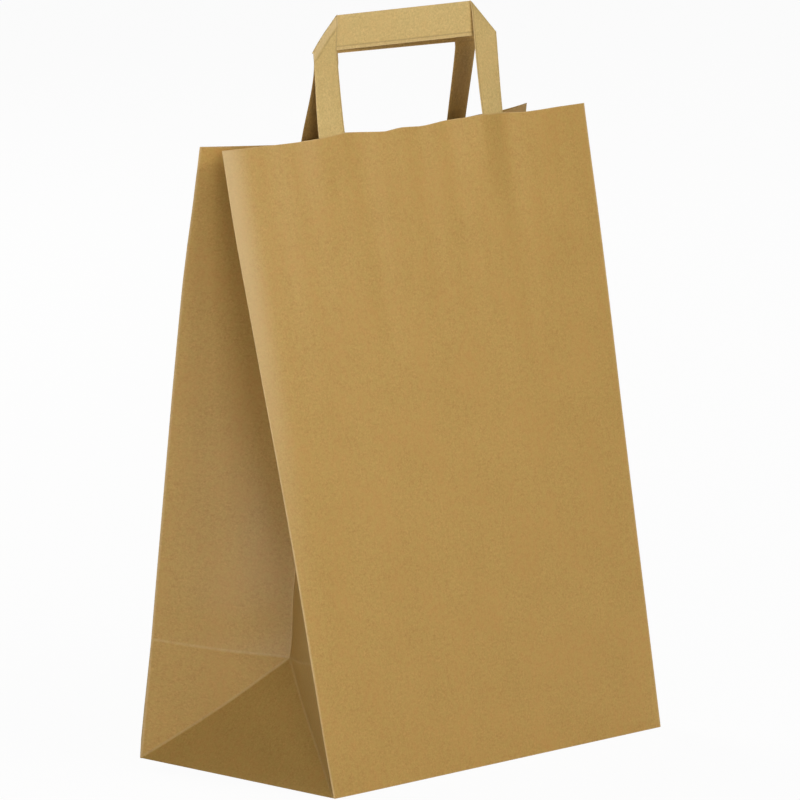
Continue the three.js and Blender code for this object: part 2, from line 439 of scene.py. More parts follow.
@dataclass(frozen=True)
class KraftFinish:
    """Uncoated brown kraft paper: cloudy fibre, faint streaks along the web, worn folds, painted highlights and shade.
    """

    name: str
    pattern: Pattern
    light: Colour = (0.571, 0.347, 0.104)
    dark: Colour = (0.435, 0.245, 0.063)
    warm: Colour = (0.545, 0.296, 0.085)
    olive: Colour = (0.500, 0.345, 0.092)
    # worn: the tone of worn folds, which also carries the painted highlights.
    worn: Colour = (0.700, 0.520, 0.275)
    # pressed: the tone of the painted shade lines along the tape's plies and beside its fold.
    pressed: Colour = (0.270, 0.165, 0.055)
    roughness: float = 0.46
    cloud: float = 0.55
    fleck: float = 1.45
    streak: float = 0.35
    fibre: float = 0.60

    def material(self) -> bpy.types.Material:
        """Builds the finish's nodes.

        The tone runs from dark to light with clouds, mottle, flecks, grain, streaks along the web and fibres. Warm
        and olive blots, the worn folds with their painted highlights and the pressed lines of painted shade go over it.

        Returns:
            The new material.
        """
        material = bpy.data.materials.new(self.name)
        tree = NodeTree(material)
        place = tree.node("ShaderNodeUVMap", {"uv_map": UV_MAP})
        cloud = tree.noise(place, 26.0, 3.0, 0.55)
        mottle = tree.noise(place, 150.0, 3.0, 0.6)
        fleck = tree.noise(place, 430.0, 2.0, 0.65)
        grain = tree.noise(place, 760.0, 2.0, 0.6)
        streak = tree.noise(tree.stretched(place, (1.0, 0.045, 1.0)), 420.0, 2.0, 0.6)
        fibre = self._fibres(tree, place)
        layers = (
            (cloud, self.cloud),
            (mottle, self.cloud * 0.8),
            (fleck, self.fleck),
            (grain, self.fleck * 1.3),
            (streak, self.streak),
            (fibre, self.fibre),
        )
        tone = sum(((layer - 0.5) * strength for layer, strength in layers), 0.5)
        colour = tree.mix(tone, self.dark, self.light)
        hue = tree.noise(tree.stretched(place, (1.0, 0.6, 1.0)), 41.0, 2.0, 0.5)
        colour = tree.mix(hue.ramp(0.42, 0.68, 0.0, 0.40), colour, self.warm)
        blot = tree.noise(tree.stretched(place, (1.0, 0.8, 1.0), 30.0), 240.0, 3.0, 0.6)
        colour = tree.mix(blot.ramp(0.35, 0.65, 0.0, 0.42), colour, self.olive)
        wear_and_highlight, ridge, line = self._folds(tree, place, mottle)
        # The worn tone carries worn paper and painted highlights; the pressed tone is painted shade along the tape's
        # lines.
        colour = tree.mix(line, tree.mix(wear_and_highlight, colour, self.worn), self.pressed)
        roughness = self.roughness + (mottle - 0.5) * 0.10 + (fibre - 0.5) * 0.10 + wear_and_highlight * 0.12
        height = fibre * 0.5 + grain * 0.6 + mottle * 0.8 + streak * 0.5 + ridge
        normal = tree.node("ShaderNodeBump", None, {"Strength": 0.35, "Distance": 0.00012, "Height": height})
        surface = tree.node(
            "ShaderNodeBsdfPrincipled",
            None,
            {"Base Color": colour, "Roughness": roughness, "Normal": normal, "IOR": 1.45},
        )
        tree.node("ShaderNodeOutputMaterial", None, {"Surface": surface})
        return material

    @staticmethod
    def _fibres(tree: NodeTree, place: Signal) -> Signal:
        """Long fibres in three directions, mostly along the web, each from noise that is stretched along it."""
        layers = [tree.noise(tree.stretched(place, (1.0, 0.10, 1.0), turn), 3600.0, 1.0) for turn in (-24.0, 7.0, 38.0)]
        return (layers[0] + layers[1] + layers[2]) / 3.0

    def _folds(self, tree: NodeTree, place: Signal, breakup: Signal) -> tuple[Signal | float, ...]:
        """Finds the worn folds of the sheet.

        Wear falls off with the distance from a fold's line on the flat sheet, and the mottle breaks it up. The lines
        are the side folds of each wall, the crease in the middle of each gusset, the level crease half a depth up,
        the slanted folds below it, the foot and the rim. Along the side folds and creases the lighter line is partly
        worn paper and partly a painted highlight. The front wall also gets a painted highlight: a pale band beside its
        left fold that grows towards the rim.

        Args:
            tree: The material's nodes.
            place: The place on the flat sheet.
            breakup: The mottle.

        Returns:
            How worn the paper is, with the painted highlights along the folds and beside the front wall's left fold,
            the height of the ridge along a fold, and how dark a pressed line is.
        """
        if self.pattern is Pattern.GLUED_PATCH:
            return (breakup - 0.5) * 0.10 + 0.03, 0.0, 0.0
        around = tree.node("ShaderNodeSeparateXYZ", None, {"Vector": place}, "X")
        height = tree.node("ShaderNodeSeparateXYZ", None, {"Vector": place}, "Y")
        if self.pattern is Pattern.PLIED_TAPE:
            return self._plies(around, height, breakup)
        half, away = DEPTH / 2, 0.05
        side = abs(around).lower_of(abs(around - GIRTH))
        for line in (WIDTH, WIDTH + DEPTH, GIRTH - DEPTH):
            side = side.lower_of(abs(around - line))
        right, left = abs(around - (WIDTH + half)), abs(around - (GIRTH - half))
        gusset = (right.below(half) + left.below(half)).lower_of(1.0)
        low = height.below(half + 0.0002) * height.above(0.0)
        slant = abs(side - height) * math.sqrt(0.5) + (1.0 - gusset * low) * away
        level = abs(height - half) + (1.0 - (gusset + around.above(WIDTH + DEPTH)).lower_of(1.0)) * away
        middle = right.lower_of(left) + height.below(half - 0.002) * away
        # The lighter lines along the side folds and creases are partly worn paper and partly painted highlight.
        edge = side.ramp(0.0022, 0.0004) * 0.50
        # Painted highlight: a pale band beside the front wall's left fold, growing towards the rim.
        pale = around.ramp(0.022, 0.001) * height.ramp(0.10, HEIGHT) * 0.50
        crease = middle.lower_of(slant).lower_of(level).ramp(0.0016, 0.0002) * 0.22
        ends = abs(height).lower_of(abs(height - HEIGHT)).ramp(0.0008, 0.0001) * 0.35
        wear_and_highlight = edge.higher_of(crease).higher_of(ends) * breakup.ramp(0.25, 0.60, 0.55, 1.0)
        return wear_and_highlight.higher_of(pale), wear_and_highlight * 1.2, 0.0

    @staticmethod
    def _plies(along: Signal, across: Signal, breakup: Signal) -> tuple[Signal, Signal, Signal]:
        """Finds the plies' edges with their painted shade lines, and the band of painted highlight beside the left
        corner's fold of a tape with a painted shade line along it.

        The second face's places lie past the tape's width. The fold's line rises at 45 degrees from the place where
        the leg is all below it, and the band beside it is 5 mm wide.

        Args:
            along: How far along the tape.
            across: How far across it, over both faces.
            breakup: The mottle.

        Returns:
            How worn the paper is with the painted highlights of the band and the tape's edges, the height of its steps,
            and how dark the painted shade lines are along the plies' edges and beside the band.
        """
        leg_edge, bar_edge = across - (TAPE_WIDTH - LEG_PLY), across - (2 * TAPE_WIDTH - BAR_PLY)
        leg_strip = leg_edge.above(0.0) * across.below(TAPE_WIDTH + 0.0004)
        bar_strip = bar_edge.above(0.0)
        # Painted shade: dark lines along the plies' edges, in place of the shade of their small steps.
        lines = abs(leg_edge).lower_of(abs(bar_edge)).ramp(0.0008, 0.0001) * 0.40
        beside = (across - along + (TAPE_END + TAPE_RISE - TAPE_WIDTH)) * math.sqrt(0.5)
        front = beside.above(0.0) * across.below(TAPE_WIDTH)
        # Painted highlight: a lighter band beside the left corner's fold, where the tape bulges towards the light.
        band = beside.ramp(0.0050, 0.0036) * front
        # Painted shade: a dark line just past the band, on the shaded side of a ridge beside it.
        pinch_shade = abs(beside - 0.0056).ramp(0.0011, 0.0002) * front * breakup.ramp(0.30, 0.60, 0.15, 0.40)
        # Painted highlight: the tape's long edges lighter, as where their thickness catches the light.
        edge_highlight = abs(across - TAPE_WIDTH).lower_of(across).lower_of(abs(across - 2 * TAPE_WIDTH)).ramp(0.0007, 0.0001)
        wear_and_highlight = (breakup - 0.5) * 0.10 + 0.03 + leg_strip * 0.10 + bar_strip * 0.12 + band * 0.42 + edge_highlight * 0.25
        lines = lines.higher_of(pinch_shade)
        return wear_and_highlight, (bar_strip + leg_strip) * 0.8 - lines * 2.0 + band * 2.5, lines


# --- The bag's form ---


@dataclass(frozen=True)
class Wall:
    """One of the two broad walls, and the place of its handle's bar, whose angles are in degrees.

    The rim has a Y at its two ends and bows towards the front between them. The tables say how the paper has
    drifted: how far the rim rises and turns to the rear along the wall, and how far the left fold turns to the rear
    by its height. The rim's rise and turn start at the heights rise_from and turn_from.
    """

    side: int
    rim_left: float
    rim_right: float
    bow: float
    foot: float
    bar_y: float
    bar_z: float
    bar_turn: float
    bar_lean: float
    bar_roll: float
    rise_from: float
    turn_from: float
    fold_reach: float
    rim_rise: Table
    rim_turn: Table
    fold_turn: Table


FRONT = Wall(
    side=-1,
    rim_left=0.0,
    rim_right=-0.031,
    bow=0.007,
    foot=0.0001,
    bar_y=-0.0163,
    bar_z=0.5036,
    bar_turn=-4.4,
    bar_lean=5.2,
    bar_roll=0.25,
    rise_from=0.385,
    turn_from=0.35,
    fold_reach=0.060,
    rim_rise=Table(
        (-160, -141, -118, -100, -80, -60, -26, -12, 7, 25, 60, 102, 134, 160),
        (1.2, 0.6, -0.1, -0.4, 0.4, 1.8, -1.1, 0.3, -0.9, 0.7, 1.9, -0.5, 0.1, 0.2),
    ),
    rim_turn=Table((-160, -100, -83, -59, -40, 30, 58, 83, 112, 160), (0, 0, -1.5, 0.2, 0, 0, -2.5, 2.0, 0, 0.6)),
    fold_turn=Table(
        (0, 31, 57, 84, 111, 137, 164, 191, 218, 245, 271, 325, 352, 369, 385, 395, 411, 430),
        (0, 0.5, -0.1, -0.8, -1.3, -1.8, -2.2, -2.1, -1.85, -1.6, -1.15, -0.6, -0.25, -0.15, -0.3, -0.55, -0.95, -1.5),
    ),
)
REAR = Wall(
    side=1,
    rim_left=0.020,
    rim_right=0.023,
    bow=0.0175,
    foot=0.0003,
    bar_y=-0.0017,
    bar_z=0.4996,
    bar_turn=1.9,
    bar_lean=-5.2,
    bar_roll=-1.3,
    rise_from=0.30,
    turn_from=0.30,
    fold_reach=0.050,
    rim_rise=Table(
        (-160, -140, -125, -110, -90, -70, -50, 110, 160), (-1.3, -2.2, -4.1, -5.3, -5.5, -3.4, -2.5, -1.3, -1.6)
    ),
    rim_turn=Table(
        (-160, -140, -118, -80, -25, 33, 60, 81, 101, 121, 160), (0, -3.0, -4.2, -1.0, -2.0, -3.4, 0, 3.0, 3.5, 0, 0)
    ),
    fold_turn=Table(
        (0, 15, 40, 90, 140, 200, 260, 310, 335, 362, 390, 430),
        (2.6, 3.7, 3.8, 3.2, 3.7, 4.1, 4.5, 4.3, 4.1, 3.0, 1.3, -0.3),
    ),
)


@dataclass(frozen=True)
class BagForm:
    """The folded bag's form: a point for every place on the flat sheet.

    Going round the sheet starts at the left side fold of the front wall: front wall, right gusset, rear wall, left
    gusset. Going up starts at the base fold, and places below it belong to the base's flaps.
    """

    width: float = WIDTH
    depth: float = DEPTH
    height: float = HEIGHT
    rounding: float = 0.0005
    left_rounding: float = 0.0004
    corner_lift: float = 0.0062
    apex_lift: float = 0.0022
    crease_dip: float = 0.0022
    ripples: tuple[Triple, ...] = ((0.00016, 0.0041, 0.6), (0.00022, 0.0067, 2.1), (0.00025, 0.0110, 0.0))
    flap: float = 0.102
    margin_fade: float = 0.020
    layer: float = 0.0002

    @property
    def half_width(self) -> float:
        """Half the width of a wall."""
        return self.width / 2

    @property
    def half_depth(self) -> float:
        """Half the depth of the bag, which is also half a gusset."""
        return self.depth / 2

    @property
    def starts(self) -> tuple[float, ...]:
        """Where the front wall, right gusset, rear wall and left gusset start, going round."""
        return 0.0, self.width, self.width + self.depth, 2 * self.width + self.depth

    def hump(self, x: Array) -> Array:
        """The share of a wall's bow at a place across it: 1 less the cube of its share of the half width."""
        return 1.0 - np.abs(x / self.half_width) ** 3

    def rim_y(self, wall: Wall, x: Array) -> Array:
        """The rim's Y: straight from its left end to its right one, less the bow."""
        return between(wall.rim_left, wall.rim_right, x / self.width + 0.5) - wall.bow * self.hump(x)

    def rise(self, wall: Wall, x: Array) -> Array:
        """The direction up a wall: a straight line of the wall's height from its base fold to its rim."""
        run = (self.rim_y(wall, x) - wall.side * self.half_depth) / self.height
        return stacked(0.0 * run, run, np.sqrt(1.0 - run**2))

    def wall_point(self, wall: Wall, x: Array, up: Array, inwards: Array | float = 0.0) -> Array:
        """A point of a wall.

        It starts on the base fold, goes up the wall's line, and then inwards along the wall's normal.

        Args:
            wall: Which wall.
            x: How far to the right of the wall's middle.
            up: How far along the wall.
            inwards: How far inside the middle of the paper.

        Returns:
            The points.
        """
        rise = self.rise(wall, x)
        foot = stacked(x, wall.side * self.half_depth, wall.foot)
        slope = (self.rim_y(wall, x + 0.001) - self.rim_y(wall, x - 0.001)) / 0.002 * up / self.height
        across = stacked(1.0, slope, 0.0)
        inward = unit(np.cross(across, rise)) * wall.side
        points = foot + rise * np.asarray(up)[..., None] + inward * np.asarray(inwards)[..., None]
        return points + self.wall_drift(wall, x, up)

    def wall_drift(self, wall: Wall, x: Array, up: Array) -> Array:
        """How far the paper of a wall has drifted from its flat form, which is what its tables say.

        Args:
            wall: Which wall.
            x: How far to the right of the wall's middle.
            up: How far along the wall.

        Returns:
            The offsets.
        """
        x, up = np.broadcast_arrays(np.asarray(x, float), np.asarray(up, float))
        lift = wall.rim_rise.at(x) * smooth_step(up, wall.rise_from, self.height)
        back = wall.fold_turn.at(up) * fade_out(x + self.half_width, wall.fold_reach)
        back = back + wall.rim_turn.at(x) * smooth_step(up, wall.turn_from, self.height)
        if wall.side < 0:
            back = back + self._front_waves(x, up)
        return stacked(0.0 * x, back, lift)

    def _front_waves(self, x: Array, up: Array) -> Array:
        """How far the front wall's paper stands to the rear, besides what its tables say.

        It turns back beside its left fold, is a little convex, has soft ripples that grow upwards, each with its
        size, length and start, and is drawn forward beside its right fold.

        Args:
            x: How far to the right of the wall's middle.
            up: How far along the wall.

        Returns:
            The offsets.
        """
        across = x / self.half_width
        turned = 0.0008 * np.exp(-(x + self.half_width) / 0.012)
        belly = -0.0016 * (1.0 - across**2) * np.sin(np.pi * np.clip(up / self.height, 0.0, 1.0))
        ripple = sum(size * np.sin(x / length + start) for size, length, start in self.ripples)
        ripple = ripple * smooth_step(up, 0.16, self.height) * (1.0 - np.abs(across) ** 6)
        return turned + belly + ripple - 0.0007 * np.exp((x - self.half_width) / 0.020) * bell(up, 0.31, 0.08)

    def crease_point(self, side: int, up: Array) -> Array:
        """A point on the crease in the middle of a gusset.

        The crease keeps half a gusset's width from both side folds and stays midway between the two walls. The left
        one dips at the rim.

        Args:
            side: -1 for the left gusset and 1 for the right one.
            up: How far along the crease.

        Returns:
            The points.
        """
        edge = np.array(side * self.half_width)
        lean = (2 * self.half_depth + self.rim_y(FRONT, edge) - self.rim_y(REAR, edge)) / 2 / self.height
        level = math.sqrt(1.0 - float(lean) ** 2)
        half_gap = (self.half_depth - up * lean) / level
        x = side * (self.half_width - np.sqrt(self.half_depth**2 - half_gap**2))
        plain = [
            wall.side * self.half_depth + (self.rim_y(wall, x) - wall.side * self.half_depth) * up / self.height
            for wall in (FRONT, REAR)
        ]
        dip = self.crease_dip * smooth_step(up, 0.37, self.height) if side < 0 else 0.0
        return stacked(x, (plain[0] + plain[1]) / 2, (up - self.half_depth * lean) / level + self.layer - dip)

    def gusset_point(self, side: int, from_front: Array, up: Array) -> Array:
        """A point of a gusset.

        Above the level crease each half runs straight from its wall's side fold to the middle crease, and follows
        the wall's bow. Below it the slanted folds run from the foot of each side fold to the apex. Outside them a
        triangle continues each half, and between them one triangle leans inwards over the base fold.

        Args:
            side: -1 for the left gusset and 1 for the right one.
            from_front: How far from the front wall's side fold, 0 to the depth.
            up: How far up the sheet.

        Returns:
            The points.
        """
        half = self.half_depth
        edge = side * self.half_width
        apex = self.crease_point(side, np.array(half))
        feet = [self.wall_point(wall, np.array(edge), np.array(0.0)) for wall in (FRONT, REAR)]
        middle = (feet[0] + feet[1]) / 2
        points = np.zeros((*np.shape(from_front), 3))
        for wall, foot in zip((FRONT, REAR), feet):
            mine = (from_front <= half) if wall.side < 0 else (from_front > half)
            across = np.where(mine, from_front if wall.side < 0 else self.depth - from_front, 0.0)
            share = (across / half)[..., None]
            fold = self.wall_point(wall, np.full_like(up, edge), np.maximum(up, half))
            crease = self.crease_point(side, np.maximum(up, half))
            high = between(fold, crease, share)
            bow = -wall.bow * np.clip((up - half) / (self.height - half), 0.0, 1.0)
            high[..., 1] += bow * (self.hump(high[..., 0]) - share[..., 0] * self.hump(crease[..., 0]))
            fold_level = self.wall_point(wall, np.array(edge), np.array(half))
            low = foot + (up / half)[..., None] * (fold_level - foot) + share * (apex - fold_level)
            leaning = feet[0] + (from_front / self.depth)[..., None] * (feet[1] - feet[0])
            leaning = leaning + (up / half)[..., None] * (apex - middle)
            part = np.where((up >= half)[..., None], high, np.where((across <= up)[..., None], low, leaning))
            points = np.where(mine[..., None], part, points)
        return points + self.gusset_drift(side, from_front, up)

    def gusset_drift(self, side: int, from_front: Array, up: Array) -> Array:
        """How far a gusset's paper has drifted from its flat form.

        In the left gusset the middle crease stands out a little above the apex, and the rear half bulges gently.

        Args:
            side: -1 for the left gusset and 1 for the right one.
            from_front: How far from the front wall's side fold.
            up: How far up the sheet.

        Returns:
            The offsets.
        """
        if side > 0:
            return np.zeros((*np.shape(up), 3))
        half = self.half_depth
        near = bell(from_front, half, 0.030)
        apex = 0.0015 * bell(up, half, 0.022) * near
        crease = -0.0050 * bell(up, 0.155, 0.050) * smooth_step(up, half, 0.13) * near
        rear_half = smooth_step(from_front, half, 0.12) * (1.0 - smooth_step(from_front, 0.15, self.depth))
        bulge = -0.0022 * rear_half * smooth_step(up, half, 0.12) * (1.0 - smooth_step(up, 0.16, 0.26))
        raised = self.apex_lift * bell(up, half, 0.035) * near
        return stacked(apex + crease + bulge, 0.0, raised)

    def base_point(self, wall: Wall, x: Array, down: Array) -> Array:
        """A point of the margin below a wall's base fold, which is folded in under the bag.

        The margin turns in below the base as a flap. Where it is further from the base fold than from the side
        fold, it is turned over on the 45 degree line, so the two distances change places.

        Args:
            wall: Which wall's margin.
            x: How far to the right of the wall's middle.
            down: How far below the base fold on the sheet.

        Returns:
            The points.
        """
        from_side = self.half_width - np.abs(x)
        flap = stacked(x, wall.side * (self.half_depth - down), wall.foot)
        corner = stacked(
            np.sign(x) * (self.half_width - down), wall.side * (self.half_depth - from_side), 2.5 * self.layer
        )
        drift = self.wall_drift(wall, x, 0.0 * down) * np.exp(-down / self.margin_fade)[..., None]
        return np.where((from_side >= down)[..., None], flap, corner) + drift

    def folded(self, around: Array, up: Array) -> Array:
        """The sharply folded sheet's point for every place on the flat sheet.

        Args:
            around: How far round the sheet.
            up: How far above the base fold.

        Returns:
            The points.
        """
        around = np.mod(around, GIRTH)
        above, down = np.maximum(up, 0.0), np.maximum(-up, 0.0)
        starts = self.starts
        panels = [
            self._wall_panel(FRONT, around - starts[0] - self.half_width, above, down),
            self._gusset_panel(1, around - starts[1], above, down),
            self._wall_panel(REAR, self.half_width - (around - starts[2]), above, down),
            self._gusset_panel(-1, self.depth - (around - starts[3]), above, down),
        ]
        points = panels[0]
        for start, panel in zip(starts[1:], panels[1:]):
            points = np.where((around >= start)[..., None], panel, points)
        return points

    def _wall_panel(self, wall: Wall, x: Array, above: Array, down: Array) -> Array:
        """A wall with the margin below it."""
        x = np.clip(x, -self.half_width, self.half_width)
        return np.where((down > 0)[..., None], self.base_point(wall, x, down), self.wall_point(wall, x, above))

    def _gusset_panel(self, side: int, from_front: Array, above: Array, down: Array) -> Array:
        """A gusset with the margin below it, which tucks in flat over the corners.

        Args:
            side: -1 for the left gusset and 1 for the right one.
            from_front: How far from the front wall's side fold.
            above: How far above the base fold.
            down: How far below it.

        Returns:
            The points.
        """
        from_front = np.clip(from_front, 0.0, self.depth)
        tuck = stacked(side * (self.half_width - down), from_front - self.half_depth, 3.5 * self.layer)
        drift = self.wall_drift(REAR, np.full_like(down, side * self.half_width), 0.0 * down)
        tuck = tuck + drift * (from_front / self.depth * np.exp(-down / self.margin_fade))[..., None]
        return np.where((down > 0)[..., None], tuck, self.gusset_point(side, from_front, above))

    def rounded(self, around: Array, up: Array) -> Array:
        """The sheet with soft folds: the mean of the folded sheet over a small square round each place.

        The mean is a four by four Gauss sum. The square is larger at the front wall's left fold, and it shrinks to
        nothing at the sheet's two free edges.

        Args:
            around: How far round the sheet.
            up: How far above the base fold.

        Returns:
            The points.
        """
        nodes, weights = np.polynomial.legendre.leggauss(4)
        near_left = np.minimum(np.abs(around), np.abs(around - GIRTH))
        reach = self.rounding + self.left_rounding * bell(near_left, 0.0, 0.006)
        room = np.minimum(self.height - up, up + self.flap)
        reach_up = np.minimum(self.rounding, np.maximum(room, 0.0))
        points = np.zeros((*around.shape, 3))
        for node_a, weight_a in zip(nodes, weights):
            for node_b, weight_b in zip(nodes, weights):
                sample = self.folded(around + node_a * reach, up + node_b * reach_up)
                points += sample * weight_a * weight_b / 4.0
        return self.settled(points)

    def settled(self, points: Array) -> Array:
        """Lifts the rear left of the bag, as a bag stands that was folded flat before.

        The lift is the product of the shares of the way to the left and to the rear, and fades towards the rim.

        Args:
            points: Points of any piece of the bag.

        Returns:
            The lifted points.
        """
        left = np.clip((self.half_width - points[..., 0]) / self.width, 0.0, 1.0)
        rear = np.clip((points[..., 1] + self.half_depth) / self.depth, 0.0, 1.0)
        fade = np.clip(1.0 - points[..., 2] / self.half_depth, 0.0, 1.0) ** 1.5
        lifted = points.copy()
        lifted[..., 2] += self.corner_lift * left * rear * fade
        return lifted


# --- The pieces ---


@dataclass
class BagSheet:
    """The bag's body: one sheet with its folds, its base and its lengthwise seam."""

    form: BagForm
    paper: float = 0.0002
    fine: tuple[float, ...] = (0.0, 0.00025, 0.0005, 0.0009, 0.0016)
    first_gap: float = 0.0014
    gusset_step: float = 0.002
    wall_step: float = 0.005
    row_step: float = 0.008
    seam_near: float = 0.110
    seam_width: float = 0.018

    def _half_gusset(self) -> Array:
        """Places across half a gusset: close together at both folds and even between them."""
        half, last = self.form.half_depth, self.fine[-1]
        return merged(
            self.fine, np.arange(last + self.first_gap, half - last, self.gusset_step), half - np.array(self.fine)
        )

    def _half_wall(self) -> Array:
        """Places from a side fold to the middle of a wall, with one where the flap's slanted fold ends."""
        even = np.arange(self.wall_step, self.form.half_width + 1e-6, self.wall_step)
        return merged(self.fine, even, [self.form.flap])

    def columns(self) -> Array:
        """Places round the sheet where its columns stand, over the four panels and without the closing one."""
        wall, half = self._half_wall(), self._half_gusset()
        panels = [np.concatenate([wall, self.form.width - wall]), np.concatenate([half, self.form.depth - half])] * 2
        return merged(*(start + panel for start, panel in zip(self.form.starts, panels)))[:-1]

    def rows(self) -> Array:
        """Places up the sheet where its rows stand, so that all slanted folds run through crossings."""
        form, fine, margin = self.form, np.array(self.fine), self._half_wall()
        high = np.arange(form.half_depth + self.row_step, form.height - self.row_step / 2, self.row_step)
        margin = -margin[margin <= form.flap + 1e-9]
        return merged(margin, self._half_gusset(), form.half_depth + fine, high, form.height - fine)

    def _rising(self, columns: Array, rows: Array) -> Array:
        """Which way each cell of the grid is cut, so that the cuts follow the slanted folds.

        Args:
            columns: The columns' places round the sheet, with the closing one.
            rows: The rows' places up it.

        Returns:
            True where a cell is cut from low left to high right.
        """
        form = self.form
        around = ((columns[:-1] + columns[1:]) / 2)[None, :]
        up = ((rows[:-1] + rows[1:]) / 2)[:, None]
        turn = np.mod(around, form.width + form.depth)
        in_wall = turn < form.width
        wall_rising = turn > form.half_width
        gusset_rising = turn < form.width + form.half_depth
        margin = np.broadcast_to(up < 0, (len(rows) - 1, len(columns) - 1))
        return np.where(margin, wall_rising | ~in_wall, gusset_rising)

    def body(self) -> Shell:
        """The whole folded sheet without its seam, as a closed shell."""
        columns, rows = self.columns(), self.rows()
        around, up = np.meshgrid(columns, rows)
        closing = np.append(columns, GIRTH)
        points = self.form.rounded(around, up)
        return PaperGrid(points, closing, rows, self.paper, True, self._rising(closing, rows)).shell()

    def seam(self) -> Shell:
        """The strip of the sheet's end that is glued over the rear wall.

        It lies on the outer side, one paper's thickness and a little more from the sheet's middle surface, and its
        two long edges stand off by a further share of that thickness.

        Returns:
            The strip as a closed shell.
        """
        form, across_count, lying, standing = self.form, 7, 1.02, 0.25
        start = form.width + form.depth + form.half_width - self.seam_near - self.seam_width
        across = start + np.linspace(0.0, self.seam_width, across_count)
        even = np.arange(0.014, 0.424, self.row_step)
        up = np.concatenate([np.linspace(0.0015, 0.006, 4), even, [0.4275, 0.4295]])
        around, height = np.meshgrid(across, up)
        under = PaperGrid(form.rounded(around, height), across, up, self.paper)
        edge = np.linspace(-1.0, 1.0, across_count)[None, :, None]
        under.points = under.points + under.normals() * (self.paper * (lying + standing * edge**4))
        return under.shell()

    def build(self, finish: bpy.types.Material) -> None:
        """Makes the body and dresses it."""
        settle_piece(piece_from("bag_sheet", self.body().joined(self.seam())), finish, "bag_body")


